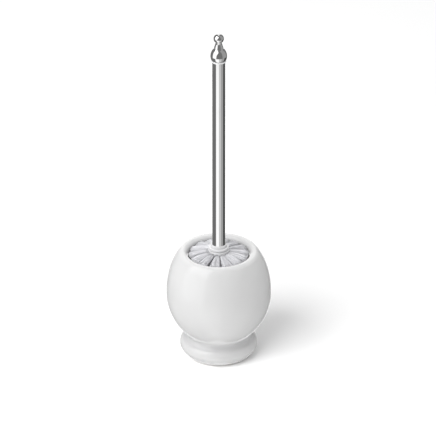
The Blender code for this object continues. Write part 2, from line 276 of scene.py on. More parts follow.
# %% [markdown]
# ## Shader arithmetic
#
# A material is a small calculation on every point of the surface. Written as a row of Math nodes it
# can't be read, so a socket is wrapped in a class that knows plus, minus and times: `1 - mask`
# then adds the node by itself. Every other node comes from one method, which takes the node's type,
# its settings, and the values or links of its sockets.

# %% A socket that calculates
class Signal:
    """The output of one node. Arithmetic on it adds Math nodes to the same tree."""

    def __init__(self, tree, socket):
        self.tree = tree
        self.socket = socket

    def math(self, operation, *terms):
        return self.tree.add("ShaderNodeMath", {"operation": operation}, dict(enumerate(terms)))

    def __add__(self, other):
        return self.math("ADD", self, other)

    def __sub__(self, other):
        return self.math("SUBTRACT", self, other)

    def __rsub__(self, other):
        return self.math("SUBTRACT", other, self)

    def __mul__(self, other):
        return self.math("MULTIPLY", self, other)

    def __truediv__(self, other):
        return self.math("DIVIDE", self, other)

    def __abs__(self):
        return self.math("ABSOLUTE", self)

    def __neg__(self):
        return self * -1.0

    __radd__ = __add__
    __rmul__ = __mul__

    def ramp(self, low, high):
        """0 at low and 1 at high, smoothed; low may be the larger one."""
        settings = {"interpolation_type": "SMOOTHSTEP"}
        sockets = {"Value": self, "From Min": low, "From Max": high}
        if low > high:
            sockets.update({"From Min": high, "From Max": low, "To Min": 1.0, "To Max": 0.0})
        return self.tree.add("ShaderNodeMapRange", settings, sockets)


class Tree:
    """The emptied node tree of a material or of the world."""

    def __init__(self, owner):
        owner.use_nodes = True
        self.nodes = owner.node_tree.nodes
        self.links = owner.node_tree.links
        self.nodes.clear()

    def add(self, kind, settings=None, sockets=None, output=0):
        """One node: its settings first, then the values or links of its sockets. Gives one output."""
        node = self.nodes.new(kind)
        for name, value in (settings or {}).items():
            if name == "stops":
                set_stops(node.color_ramp, value)
            else:
                setattr(node, name, value)
        for key, value in (sockets or {}).items():
            if isinstance(value, Signal):
                self.links.new(value.socket, node.inputs[key])
            else:
                node.inputs[key].default_value = value
        return Signal(self, node.outputs[output]) if node.outputs else None

    def mix(self, share, first, second):
        """One colour into another."""
        return self.add("ShaderNodeMix", {"data_type": "RGBA"}, {0: share, 6: first, 7: second}, output=2)

    def place(self, stretch=(1, 1, 1)):
        """Object coordinates in metres, multiplied axis by axis."""
        where = self.add("ShaderNodeTexCoord", output=3)
        return self.add("ShaderNodeMapping", {"vector_type": "POINT"}, {"Vector": where, "Scale": stretch})

    def noise(self, size, stretch=(1, 1, 1), detail=2.0):
        """Soft noise from 0 to 1 with features of a size in mm."""
        sockets = {"Vector": self.place(stretch), "Scale": 1 / (size * MM), "Detail": detail}
        return self.add("ShaderNodeTexNoise", {"noise_dimensions": "3D"}, sockets)

    def height(self):
        """Height above the floor, in mm."""
        parts = self.add("ShaderNodeSeparateXYZ", {}, {0: self.place()}, output=2)
        return parts / MM

    def bump(self, height, depth, under=None):
        """A normal that follows a height from 0 to 1 as deep as depth, in mm."""
        sockets = {"Height": height, "Distance": depth * MM, "Strength": 1.0}
        if under:
            sockets["Normal"] = under
        return self.add("ShaderNodeBump", {}, sockets)


def set_stops(ramp, stops):
    """Fill a colour ramp from a list of (position, colour)."""
    while len(ramp.elements) < len(stops):
        ramp.elements.new(1.0)
    for element, (position, colour) in zip(ramp.elements, stops):
        element.position = position
        element.color = colour


def principled(name, write):
    """A material around one Principled shader: write(tree) gives its sockets as a dictionary."""
    look = bpy.data.materials.new(name)
    tree = Tree(look)
    shader = tree.add("ShaderNodeBsdfPrincipled", {}, write(tree))
    tree.add("ShaderNodeOutputMaterial", {}, {"Surface": shader})
    print("material", name, "with", len(tree.nodes), "nodes")
    return look


# %% [markdown]
# ## The studio
#
# The studio has a white floor that runs out of sight and a large soft light at the front left. A
# second one, high behind the object, lifts the far side of the lip and the bristles, and a white
# surround fills the dark side. In a real studio the floor gets a light of its own, so that it
# stays pure white and its shadow stays short. Light linking does that here: the third light belongs
# to the floor alone, and the other two to everything else.
#
# Chrome shows only what it reflects, so it needs more than light: it needs something to look at. In
# a studio that is a ring of cards from white to dark grey. Here it is a large sphere, painted by
# direction, that only reflections can see. The floor and the object are switched off for
# reflections, so the cards alone draw the stripes.

# %% Directions in the studio
SCENE = bpy.context.scene


def direction(side, elevation):
    """Unit vector towards the studio wall: side 0 is at the camera, and positive to the right."""
    flat = cos(elevation)
    return Vector((sin(side) * flat, -cos(side) * flat, sin(elevation)))


LIGHT_DISTANCE = 3.3
LIGHT_SIZE = (3.0, 2.5)
SURROUND = 0.65
GLOBE_MIDDLE = Vector((0, 0, 0.085))


def soft_light(name, side, elevation, power):
    """A large rectangle of light, turned to the middle of the globe, that reflections don't see."""
    data = bpy.data.lights.new(name, "AREA")
    data.shape = "RECTANGLE"
    data.size, data.size_y = LIGHT_SIZE
    data.energy = power
    light = bpy.data.objects.new(name, data)
    SCENE.collection.objects.link(light)
    light.location = GLOBE_MIDDLE + LIGHT_DISTANCE * direction(radians(side), radians(elevation))
    light.rotation_euler = (GLOBE_MIDDLE - light.location).to_track_quat("-Z", "Y").to_euler()
    light.visible_glossy = False
    return light


key = soft_light("key_light", -54, 45, 76.0)
back_light = soft_light("back_light", 180, 60, 52.0)
floor_light = soft_light("floor_light", -41, 40, 140.6)
print("three soft lights,", LIGHT_SIZE, "m each")

# %% Surround and floor
world = bpy.data.worlds.new("surround")
SCENE.world = world
world_tree = Tree(world)
glow = world_tree.add("ShaderNodeBackground", {}, {"Color": (1, 1, 1, 1), "Strength": SURROUND})
world_tree.add("ShaderNodeOutputWorld", {}, {"Surface": glow})

FLOOR_HALF = 6.0
FLOOR_DROP = 0.2 * MM


def write_floor(tree):
    """Matt white paper with a barely visible tooth."""
    tooth = tree.noise(1.2)
    return {
        "Base Color": tree.mix(tooth, paint(247), paint(249)), "Roughness": 0.9,
        "Specular IOR Level": 0.0, "Normal": tree.bump(tooth, 0.01),
    }


corners = FLOOR_HALF * np.array([[-1, -1, 0], [1, -1, 0], [1, 1, 0], [-1, 1, 0]]) - [0, 0, FLOOR_DROP]
floor_shape = (corners, np.array([[0, 1, 2, 3]]), np.empty((0, 3), int))
floor = make_mesh("floor", floor_shape, principled("paper", write_floor))
floor.visible_glossy = False
floor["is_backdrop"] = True


def link_light(light, state):
    """Let a light reach only the floor (INCLUDE), or everything but the floor (EXCLUDE)."""
    group = bpy.data.collections.new(light.name + "_reach")
    group.objects.link(floor)
    group.collection_objects[0].light_linking.link_state = state
    light.light_linking.receiver_collection = group


link_light(key, "EXCLUDE")
link_light(back_light, "EXCLUDE")
link_light(floor_light, "INCLUDE")
print("surround", SURROUND, "and a floor of", 2 * FLOOR_HALF, "m")

# %% The ring of cards
CARDS_RADIUS = 4.0
WALL_BANDS = (                  # side in degrees where each card starts, and its grey
    (-180, 240), (-160, 108), (-49, 255), (4, 197),
    (41, 157), (83, 70), (150, 90), (162, 240),
)
CEILING_BANDS = ((-180, 240), (-160, 112), (52, 150), (118, 112), (162, 240))
BAND_EDGE = 3.0                 # degrees from one grey into the next
CHROME_GREY = 0.9               # what chrome gives back
CEILING_START = (-0.4, -0.25)   # sines of the angles over which the wall becomes the ceiling
CARD_EDGE = 0.06                # how soft a flat card's edge is, as a share of its half size
CARD_FRONT = 0.1                # a card faces only what is in front of it
CARDS = (                       # side, elevation, half width and half height in degrees, and glow
    (-60, 12, 28, 30, 1.05), (-56, 47, 25, 21, 2.4),
)


def band_stops(bands):
    """Ramp stops for cards side by side, from -180 degrees at 0 to 180 degrees at 1."""
    stops = [(0.0, paint(bands[0][1]))]
    for (start, level), (_, last) in zip(bands[1:], bands):
        for edge, colour in ((-BAND_EDGE / 2, last), (BAND_EDGE / 2, level)):
            stops.append(((start + edge) / 360 + 0.5, paint(colour)))
    return stops


def cards_look():
    """Emission by direction: bands far below the horizon, a grey ceiling above, flat cards over both."""
    look = bpy.data.materials.new("cards")
    tree = Tree(look)
    where = tree.add("ShaderNodeVectorMath", {"operation": "NORMALIZE"}, {0: tree.place()})
    x, y, z = (tree.add("ShaderNodeSeparateXYZ", {}, {0: where}, output=axis) for axis in range(3))
    side = x.math("ARCTAN2", x, -y) / tau + 0.5
    wall = tree.add("ShaderNodeValToRGB", {"stops": band_stops(WALL_BANDS)}, {0: side})
    ceiling = tree.add("ShaderNodeValToRGB", {"stops": band_stops(CEILING_BANDS)}, {0: side})
    colour = tree.mix(z.ramp(*CEILING_START), wall, ceiling)
    for *place, strength in CARDS:
        side, elevation, *halves = (radians(angle) for angle in place)
        facing = direction(side, elevation)
        right = Vector((0, 0, 1)).cross(facing).normalized()
        axes = [tree.add("ShaderNodeVectorMath", {"operation": "DOT_PRODUCT"}, {0: where, 1: axis}, output=1)
                for axis in (right, facing.cross(right), facing)]
        inside = axes[2].ramp(0.0, CARD_FRONT)
        for distance, half in zip(axes[:2], halves):
            reach = tan(half)
            slope = abs(distance) / axes[2]
            inside = inside * slope.ramp(reach * (1 + CARD_EDGE), reach * (1 - CARD_EDGE))
        colour = tree.mix(inside, colour, (strength, strength, strength, 1))
    glow = tree.add("ShaderNodeEmission", {}, {"Color": colour, "Strength": 1 / CHROME_GREY})
    tree.add("ShaderNodeOutputMaterial", {}, {"Surface": glow})
    return look


def ball_outline(radius, count):
    """Half a circle from the lowest point to the highest."""
    angle = np.linspace(-pi / 2, pi / 2, count)
    outline = np.stack([radius * np.cos(angle), radius * np.sin(angle)], axis=1)
    outline[[0, -1], 0] = 0
    return outline


cards = make_mesh("cards", turned(ball_outline(CARDS_RADIUS / MM, 49), 96), cards_look())
cards.visible_camera = False
cards.visible_diffuse = False
cards.visible_shadow = False
cards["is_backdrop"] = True
print("cards:", len(WALL_BANDS), "bands on the wall and", len(CEILING_BANDS), "on the ceiling")

# %% [markdown]
# ## Glaze
#
# The pot is vitreous china: a white body under a clear, glassy coat. The coat is never quite even.
# It lies in long shallow waves, has a fine orange peel and a few pits, and gathers in the hollow
# above the foot, where it looks a shade deeper. A little light soaks into the body and comes out
# again, which softens its shadows. The ring it stands on is wiped clean before firing, so it is
# bare, rough and creamy.
#
# All of that is noise and height above the floor, so it needs no image and no unwrapping.

# %% Glaze
GLAZE_LEVEL = 207
WAIST_Z = 27.5
POOL_HALF = 9.0                 # how far above and below the waist the glaze gathers
GLAZE_LINE_Z = 2.9
GLAZE_LINE_EDGE = (0.35, -0.1)  # from glazed to bare, about the glaze line


def write_glaze(tree):
    """Gloss white over a bare foot ring."""
    height = tree.height()
    cloud = tree.noise(60)
    waves = tree.noise(26, detail=1.0)
    peel = tree.noise(3.2)
    pits = tree.add("ShaderNodeTexVoronoi", {"feature": "F1"}, {"Vector": tree.place(), "Scale": 95.0})
    pit = pits.ramp(0.028, 0.012)
    pooled = abs(height - WAIST_Z).ramp(POOL_HALF, 0.0)
    above, below = (GLAZE_LINE_Z + step for step in GLAZE_LINE_EDGE)
    bare = (height + tree.noise(5) * 1.2).ramp(above, below)
    clean = tree.mix(cloud, paint(GLAZE_LEVEL - 1), paint(GLAZE_LEVEL + 2))
    deep = tree.mix(pooled * 0.5, clean, paint(GLAZE_LEVEL - 3, blue=1))
    specked = tree.mix(pit * 0.5, deep, paint(196, red=3))
    biscuit = tree.mix(tree.noise(0.6), paint(217, red=3, blue=-5), paint(229, red=2, blue=-3))
    normal = tree.bump(waves, 0.05)
    normal = tree.bump(peel, 0.004, normal)
    normal = tree.bump(1 - pit, 0.03, normal)
    return {
        "Base Color": tree.mix(bare, specked, biscuit),
        "Roughness": (cloud * 0.04 + 0.04) * (1 - bare) + bare * 0.78,
        "IOR": 1.5,
        "Subsurface Weight": 0.5, "Subsurface Radius": (1, 1, 1), "Subsurface Scale": 6 * MM,
        "Normal": tree.bump(tree.noise(0.5) * bare, 0.05, normal),
    }


glaze = principled("glazed_china", write_glaze)

# %% [markdown]
# ## The pot
#
# A globe on a flared foot, slip cast in one piece. Outside, the globe is two quarter superellipses
# that meet at its widest ring: the upper one a little squarer than a circle, the lower one a little
# slacker. Cubics carry it into the foot and on and off the rolled lip, and inside it runs down one
# wall thickness away to a flat floor.
#
# The widest ring, the lip and the underside come from the frame, and the rest repeats the design.

# %% Pot
pot_low, pot_high = (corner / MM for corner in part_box("holder_pot"))
BOWL_RADIUS = pot_high.x
BOWL_MID_Z = 85.0
BOWL_RISE, BOWL_RISE_POWER = 80.5, 2.2
BOWL_DROP, BOWL_DROP_POWER = 69.5, 1.9
WALL = 6.0
LIP_ROUND = 6.0
LIP_RADIUS = 44.5
LIP_Z = pot_high.z - LIP_ROUND
WAIST_JOIN_Z = 34.0
FOOT_RADIUS, FOOT_MID_Z = 48.0, 14.0
FOOT_RISE, FOOT_RISE_POWER, FOOT_DROP_POWER = 11.5, 2.6, 1.35
FOOT_SHOULDER = radians(58)
LIP_START = radians(50)
INSIDE_RISE = 0.36              # the wall inside is an arc for this share of the way up
RING_OUTER, RING_INNER, RING_Z = 36.5, 28.6, pot_low.z
FLOOR_Z, FLOOR_THICKNESS, FLOOR_RADIUS = 30.0, 7.0, 22.0


def pot_outline():
    """From the middle of the underside round the foot, up the globe, over the lip and down inside."""
    under_z = FLOOR_Z - FLOOR_THICKNESS
    middle = (0, BOWL_MID_Z)
    recess = filleted([
        (0, under_z, 0), (RING_INNER - 1.6, under_z, 5),
        (RING_INNER, RING_Z, 0.8), (RING_OUTER + 2, RING_Z, 0),
    ], closed=False, steps=9)[:-1]
    foot_width = FOOT_RADIUS - RING_OUTER
    foot = (RING_OUTER, FOOT_MID_Z)
    foot_low = arc(foot, (foot_width, FOOT_MID_Z - RING_Z), -pi / 2, 0, 28, FOOT_DROP_POWER)
    foot_high = arc(foot, (foot_width, FOOT_RISE), 0, FOOT_SHOULDER, 18, FOOT_RISE_POWER)
    join = arc_angle((BOWL_MID_Z - WAIST_JOIN_Z) / BOWL_DROP, BOWL_DROP_POWER)
    bowl_low = arc(middle, (BOWL_RADIUS, BOWL_DROP), -join, 0, 40, BOWL_DROP_POWER)
    top = arc_angle((LIP_Z + 1.5 - BOWL_MID_Z) / BOWL_RISE, BOWL_RISE_POWER)
    bowl_high = arc(middle, (BOWL_RADIUS, BOWL_RISE), 0, top, 44, BOWL_RISE_POWER)
    lip = arc((LIP_RADIUS, LIP_Z), (LIP_ROUND, LIP_ROUND), LIP_START, pi, 24)
    inner = BOWL_RADIUS - WALL
    inside = arc_angle(INSIDE_RISE, BOWL_RISE_POWER)
    inner_high = arc(middle, (inner, BOWL_RISE - WALL), inside, 0, 14, BOWL_RISE_POWER)
    bottom = arc_angle((BOWL_MID_Z - FLOOR_Z - 6) / (BOWL_DROP - WALL), BOWL_DROP_POWER)
    inner_low = arc(middle, (inner, BOWL_DROP - WALL), 0, -bottom, 30, BOWL_DROP_POWER)
    floor_run = np.array([(FLOOR_RADIUS, FLOOR_Z), (0, FLOOR_Z)])
    return np.concatenate([
        recess, foot_low, foot_high[1:], blend(foot_high, bowl_low, 14), bowl_low, bowl_high[1:],
        blend(bowl_high, lip, 3), lip, blend(lip, inner_high, 12), inner_high, inner_low[1:],
        blend(inner_low, floor_run, 10), floor_run,
    ])


add_piece("glazed_pot", turned(pot_outline(), 288), glaze, "holder", "holder_pot")
print("pot is", round(2 * BOWL_RADIUS), "mm wide and", round(pot_high.z - pot_low.z), "mm tall")

# %% [markdown]
# ## Pads
#
# Glazed china scratches tiles and slides on them, so four small discs of closed-cell foam rubber
# stand under the foot. Foam is rough, matt and full of tiny cells that were cut open.

# %% Pads
def write_foam(tree):
    """Cut cells in soft white foam."""
    cells = tree.add("ShaderNodeTexVoronoi", {"feature": "F1"}, {"Vector": tree.place(), "Scale": 2600.0})
    return {
        "Base Color": tree.mix(cells, paint(206), paint(226)), "Roughness": 0.95,
        "Normal": tree.bump(cells, 0.08),
    }


foam = principled("foam_rubber", write_foam)
PAD_COUNT = 4
for number in range(1, PAD_COUNT + 1):
    low, high = (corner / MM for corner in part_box(f"base_pad_{number}"))
    radius = (high.x - low.x) / 2
    outline = filleted([(0, 0, 0), (radius, 0, 0.3), (radius, high.z, 0.4), (0, high.z, 0)], closed=False)
    points, quads, triangles = turned(outline, 48)
    points = points + [(low.x + high.x) / 2 * MM, (low.y + high.y) / 2 * MM, 0]
    shape = (points, quads, triangles)
    add_piece(f"foam_pad_{number}", shape, foam, "holder", f"base_pad_{number}")

# %% [markdown]
# ## White plastic
#
# The head, the collar, the washer and the plugs are injection moulded in white polypropylene. It is
# satin rather than glossy, with the faint grain of the mould and pale flow marks.

# %% White plastic
def write_plastic(tree):
    """Satin moulded plastic."""
    grain = tree.noise(0.35, detail=3.0)
    flow = tree.noise(9, stretch=(1, 1, 0.4))
    return {
        "Base Color": tree.mix(flow, paint(214, blue=1), paint(219, blue=1)),
        "Roughness": grain * 0.12 + 0.3,
        "IOR": 1.49,
        "Normal": tree.bump(grain, 0.006, tree.bump(flow, 0.02)),
    }


plastic = principled("white_polypropylene", write_plastic)

# %% [markdown]
# ## Head core
#
# The tufts are driven into blind holes in the core, fourteen to a row, each row turned by half a
# space against the one above. The holes are pits in the wall: near each hole's middle the radius
# drops by a smooth step. The bore at the top holds the stud that the handle screws onto.

# %% Head core
CORE_RADIUS = 13.0
CORE_NOSE = 4.0
STUD_RADIUS = 4.0
STUD_GAP = 0.3
STUD_SET = 20.0
TUFTS_PER_ROW = 14
FIRST_GAP = radians(274)
ROW_COUNT = 12
TOP_ROW_Z = 141.5
ROW_PITCH = 8.6
SPACING = tau / TUFTS_PER_ROW
HOLE_RADIUS = 2.5
HOLE_DEPTH = 1.6
HOLE_EDGE = 0.7                 # how wide the step into a hole is
core_low, core_high = (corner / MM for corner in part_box("head_core"))


def with_holes(radius, height, turn):
    """Sink the wall round each tuft: row k sits at top - k pitch, turned by k / 2 spaces."""
    row = np.clip(np.round((TOP_ROW_Z - height) / ROW_PITCH), 0, ROW_COUNT - 1)
    beside = (turn - FIRST_GAP) / SPACING - (row + 1) / 2
    around = (beside - np.round(beside)) * SPACING * CORE_RADIUS
    above = height - (TOP_ROW_Z - row * ROW_PITCH)
    sunk = HOLE_DEPTH * smooth_step(HOLE_RADIUS, HOLE_RADIUS - HOLE_EDGE, np.hypot(around, above))
    return np.where(radius > CORE_RADIUS - 0.01, radius - sunk, radius)


def core_outline():
    """A rounded nose, the wall in half-millimetre steps, a crisp shoulder and the bore."""
    nose = arc((CORE_RADIUS - CORE_NOSE, core_low.z + CORE_NOSE), (CORE_NOSE, CORE_NOSE), -pi / 2, 0, 12)
    wall_z = np.arange(core_low.z + CORE_NOSE + 0.5, core_high.z - 0.8, 0.5)
    wall = np.stack([np.full_like(wall_z, CORE_RADIUS), wall_z], axis=1)
    bore = STUD_RADIUS + STUD_GAP
    bore_bottom = core_high.z - STUD_SET - STUD_GAP
    top = filleted([
        (CORE_RADIUS, core_high.z - 4, 0), (CORE_RADIUS, core_high.z, 0.5), (bore, core_high.z, 0.4),
        (bore, bore_bottom, 0.4), (0, bore_bottom, 0),
    ], closed=False)[1:]
    return np.concatenate([[(0, core_low.z)], nose, wall, top])


core_shape = turned(core_outline(), TUFTS_PER_ROW * 22, with_holes)
add_piece("moulded_core", core_shape, plastic, "brush_head", "head_core")

# %% [markdown]
# ## Bristles
#
# A bristle is a nylon filament half a millimetre thick. A few dozen of them, folded double and
# stapled into one hole, make a tuft, and the tuft fans out and sags a little towards its tip. Hair
# particles would be quicker to make, but they are not a mesh. So each half of a filament is a
# four-sided tube along its own path, and all the tubes of a piece are one array.
#
# The top row is what shows in the mouth of the pot, so its tufts are pieces of their own. The rows
# under it are one piece each.

# %% Nylon
def write_nylon(tree):
    """Milky nylon: each strand has its own shade, and the cut tips are paler."""
    strand = tree.add("ShaderNodeAttribute", {"attribute_name": "strand"}, output=2)
    along = tree.add("ShaderNodeAttribute", {"attribute_name": "along"}, output=2)
    shade = tree.mix(strand, paint(228, blue=4), paint(240, blue=4))
    return {
        "Base Color": tree.mix(along.ramp(0.93, 1.0) * 0.5, shade, paint(246, blue=3)),
        "Roughness": strand * 0.12 + 0.34,
        "IOR": 1.53,
        "Subsurface Weight": 0.45, "Subsurface Radius": (1, 1, 1), "Subsurface Scale": 2 * MM,
    }


nylon = principled("milky_nylon", write_nylon)

# %% Filaments
FILAMENT_RADIUS = 0.27
FILAMENT_SIDES = 4
PATH_POINTS = 6
TIP_TAPER = 0.7                 # the last ring's share of the filament's width
TIP_ROUND = 0.5                 # how far past it the tip ends, in filament radii


def tubes(paths, radius):
    """Thin closed tubes along paths[t, k]: at each point a ring in the plane across the path.

    The ring's axes are n1 = up x tangent and n2 = tangent x n1, with X in place of up on an upright
    path. The last ring narrows to a round tip.
    """
    tangent = np.gradient(paths, axis=1)
    tangent /= np.linalg.norm(tangent, axis=-1, keepdims=True)
    upright = np.abs(tangent[..., 2:]) > 0.9
    helper = np.where(upright, [1.0, 0.0, 0.0], [0.0, 0.0, 1.0])
    n1 = np.cross(helper, tangent)
    n1 /= np.linalg.norm(n1, axis=-1, keepdims=True)
    n2 = np.cross(tangent, n1)
    turn = tau * (np.arange(FILAMENT_SIDES) + 0.5) / FILAMENT_SIDES
    width = np.full(paths.shape[1], radius)
    width[-1] *= TIP_TAPER
    width = width[None, :, None, None]
    first = width * np.cos(turn)[:, None] * n1[:, :, None]
    second = width * np.sin(turn)[:, None] * n2[:, :, None]
    rings = paths[:, :, None] + first + second
    tips = paths[:, -1] + tangent[:, -1] * radius * TIP_ROUND
    return skin(rings * MM, paths[:, 0] * MM, tips * MM)


def strand_values(paths, rng):
    """For each point of the tubes: a shade that its strand keeps, and the share of the way to the tip."""
    count, steps = paths.shape[:2]
    shade = rng.random(count)
    along = np.linspace(0, 1, steps)
    return {
        "strand": np.concatenate([np.repeat(shade, steps * FILAMENT_SIDES), shade, shade]),
        "along": np.concatenate([
            np.tile(np.repeat(along, FILAMENT_SIDES), count), np.zeros(count), np.ones(count)
        ]),
    }


def disc(count, rng):
    """Even random points in a unit disc."""
    reach = np.sqrt(rng.random(count))
    turn = rng.random(count) * tau
    return reach * np.cos(turn), reach * np.sin(turn)


TUFT_ROOT = (4.8, 4.0)          # width and height where a tuft leaves the core
TUFT_TIP = (13.2, 5.4)          # and at its tip
TUFT_DROOP = 3.6
TUFT_SET = 0.3                  # how far from a hole's bottom the filaments start
WANDER = 0.35                   # spread of each strand's own path


def tuft_paths(turn, middle_z, tip_radius, count, rng):
    """Paths of one tuft that points to a plan angle: for the share s of the way out,

    out = start + (reach - start) s, across = a (root width + growth s) / 2 and
    height = middle + b (root height + growth s) / 2 - droop s^2, where (a, b) is a point in a disc.
    The reach of each strand ends on the trimmed cylinder, give or take a little.
    """
    share = np.linspace(0, 1, PATH_POINTS)
    a, b = (values[:, None] for values in disc(count, rng))
    wander = rng.normal(0, WANDER, (4, count, 1))
    width, depth = (low + (high - low) * share for low, high in zip(TUFT_ROOT, TUFT_TIP))
    across = a * width / 2 + wander[0] * share**2
    reach = np.sqrt((tip_radius + wander[1]) ** 2 - across[:, -1:] ** 2)
    start = CORE_RADIUS - HOLE_DEPTH + TUFT_SET
    out = start + (reach - start) * share
    curl = wander[2] * np.sin(pi * share) * 0.5
    height = middle_z + b * depth / 2 - TUFT_DROOP * share**2 + wander[3] * share + curl
    x = out * cos(turn) - across * sin(turn)
    y = out * sin(turn) + across * cos(turn)
    return np.stack(np.broadcast_arrays(x, y, height), axis=-1)


# %% Top row
TOP_STRANDS = 130
TOP_TIP_RADIUS = 36.4
rng = np.random.default_rng(14)
for number in range(1, TUFTS_PER_ROW + 1):
    turn = FIRST_GAP + SPACING * (number - 0.5) + radians(rng.normal(0, 0.8))
    paths = tuft_paths(turn, TOP_ROW_Z, TOP_TIP_RADIUS, TOP_STRANDS, rng)
    values = strand_values(paths, rng)
    shape = tubes(paths, FILAMENT_RADIUS)
    add_piece(f"tuft_{number}", shape, nylon, "brush_head", f"bristle_tuft_{number}", values)

# %% Lower rows
ROW_STRANDS = 60
ROW_TIP_RADIUS = 33.6
ROW_TAPER = 0.3
for row in range(1, ROW_COUNT):
    turns = FIRST_GAP + SPACING * (np.arange(TUFTS_PER_ROW) + (row + 1) / 2)
    reach = ROW_TIP_RADIUS - ROW_TAPER * (row - 1)
    middle_z = TOP_ROW_Z - ROW_PITCH * row
    paths = np.concatenate([tuft_paths(turn, middle_z, reach, ROW_STRANDS, rng) for turn in turns])
    values = strand_values(paths, rng)
    shape = tubes(paths, FILAMENT_RADIUS)
    node = f"bristle_row_{row + 1}"
    add_piece(f"row_{row + 1}", shape, nylon, "brush_head", node, values)

# %% [markdown]
# ## Crown
#
# Round the nose of the core the tufts turn downwards and outwards. They reach under a toilet's rim,
# and the brush stands on them, so they are cut to one flat face and one cone. Each strand is a
# quadratic curve that leaves the nose at its tuft's lean.

# %% Crown
crown_low, _ = (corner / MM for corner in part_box("bristle_crown"))
CROWN_RINGS = (                 # tufts, lean in degrees, root radius and tip radius
    (6, 28, 4.2, 9.0), (12, 60, 9.4, 19.5),
)
CROWN_STRANDS = 70
CROWN_ROOT_HALF = 1.6           # half width of a tuft at its root
CROWN_TIP_HALF = 4.6            # half depth of a tuft at its tip
CROWN_FAN = 0.23                # half width at the tip, as a share of the tip radius
CROWN_LEAVE = 5.0               # how far a strand runs straight on
NOSE_DEPTH = 1.2                # roots lie this far above the end of the nose
NOSE_STEP = 2.0                 # and this much further up on its round edge
NOSE_EDGE = 6                   # roots outside this radius lie on that edge
FLAT_RADIUS = 18                # the flat face ends and the cone starts
CONE_SLOPE = 0.65
CROWN_TRIM = (0.3, 0.5)         # least height of a tip above the box's floor, and its spread


def crown_paths(count, lean, root_radius, tip_radius, rng):
    """P(t) = (1 - t)^2 root + 2 t (1 - t) bend + t^2 tip, for every strand of a ring of tufts."""
    turns = np.repeat(tau * np.arange(count) / count, CROWN_STRANDS)
    a, b = disc(len(turns), rng)
    inward = np.array([np.cos(turns), np.sin(turns), np.zeros_like(turns)]).T
    across = np.array([-np.sin(turns), np.cos(turns), np.zeros_like(turns)]).T
    down = np.array([0, 0, -1.0])
    root = inward * (root_radius + CROWN_ROOT_HALF * b)[:, None] + across * (CROWN_ROOT_HALF * a)[:, None]
    root[:, 2] = core_low.z + NOSE_DEPTH + NOSE_STEP * (root_radius > NOSE_EDGE)
    out = sin(lean) * inward + cos(lean) * down
    tip_z = crown_low.z + CROWN_TRIM[0] + rng.random(len(turns)) * CROWN_TRIM[1]
    tip = inward * (tip_radius + CROWN_TIP_HALF * b)[:, None] + across * (a * tip_radius * CROWN_FAN)[:, None]
    tip[:, 2] = tip_z + np.clip(np.hypot(tip[:, 0], tip[:, 1]) - FLAT_RADIUS, 0, None) * CONE_SLOPE
    bend = root + out * CROWN_LEAVE
    t = np.linspace(0, 1, PATH_POINTS)[None, :, None]
    return (1 - t) ** 2 * root[:, None] + 2 * t * (1 - t) * bend[:, None] + t**2 * tip[:, None]


paths = np.concatenate([
    crown_paths(count, radians(lean), root, tip, rng) for count, lean, root, tip in CROWN_RINGS
])
values = strand_values(paths, rng)
shape = tubes(paths, FILAMENT_RADIUS)
add_piece("crown", shape, nylon, "brush_head", "bristle_crown", values)

# %% [markdown]
# ## Collar
#
# A stepped white ring covers the joint between the head and the handle: a flange, a shallow groove
# and a boss that the tube stands in. Its steps read from a distance only because of the grooves
# between them, so those are real.

# %% Collar
collar_low, collar_high = (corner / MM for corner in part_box("collar"))
BOSS_RADIUS = 9.9
FLANGE_RADIUS = collar_high.x
FLANGE_BOTTOM, FLANGE_TOP = 147.4, 149.7
GROOVE_RADIUS = 11.3
COLLAR_WEB = 2.2
tube_low, tube_high = (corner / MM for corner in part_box("handle_tube"))
TUBE_RADIUS = tube_high.x
SEAT_RADIUS = TUBE_RADIUS + 0.3
STUD_HOLE = STUD_RADIUS + STUD_GAP
WEB_Z = collar_low.z + COLLAR_WEB
collar_corners = [
    (STUD_HOLE, collar_low.z, 0.2), (GROOVE_RADIUS, collar_low.z, 0.2),
    (GROOVE_RADIUS, FLANGE_BOTTOM, 0.1), (FLANGE_RADIUS, FLANGE_BOTTOM, 0.45),
    (FLANGE_RADIUS, FLANGE_TOP, 0.55), (BOSS_RADIUS - 0.4, FLANGE_TOP, 0.12),
    (BOSS_RADIUS - 0.4, FLANGE_TOP + 0.5, 0.1), (BOSS_RADIUS, FLANGE_TOP + 0.6, 0.08),
    (BOSS_RADIUS, collar_high.z, 0.7), (SEAT_RADIUS, collar_high.z, 0.25),
    (SEAT_RADIUS, WEB_Z, 0.2), (STUD_HOLE, WEB_Z, 0.2),
]
collar_shape = turned(filleted(collar_corners), 192)
add_piece("stepped_collar", collar_shape, plastic, "collar", "collar")

# %% [markdown]
# ## Chrome
#
# The handle and the finial are steel and brass under bright chrome. Chrome is a mirror,
# and what makes it believable is how it falls short of one: lengthwise polishing lines, a film left
# by wiping that is thicker in some places, and a plating that is not perfectly even.

# %% Chrome
def write_chrome(tree):
    """Bright plate with polishing lines and a wiped film."""
    lines = tree.noise(0.5, stretch=(1, 1, 0.02), detail=3.0)
    film = tree.noise(14, stretch=(1, 1, 0.5)).ramp(0.45, 0.75)
    uneven = tree.noise(7, detail=1.0)
    return {
        "Base Color": tree.mix(film, paint(243), paint(240)),
        "Metallic": 1.0,
        "Roughness": film * 0.05 + lines * 0.03 + 0.015,
        "Normal": tree.bump(lines, 0.0006, tree.bump(uneven, 0.002)),
    }


chrome = principled("bright_chrome", write_chrome)

# %% [markdown]
# ## Tube
#
# A plain drawn tube, 16 mm across with a wall of 0.8 mm. Both ends are deburred.

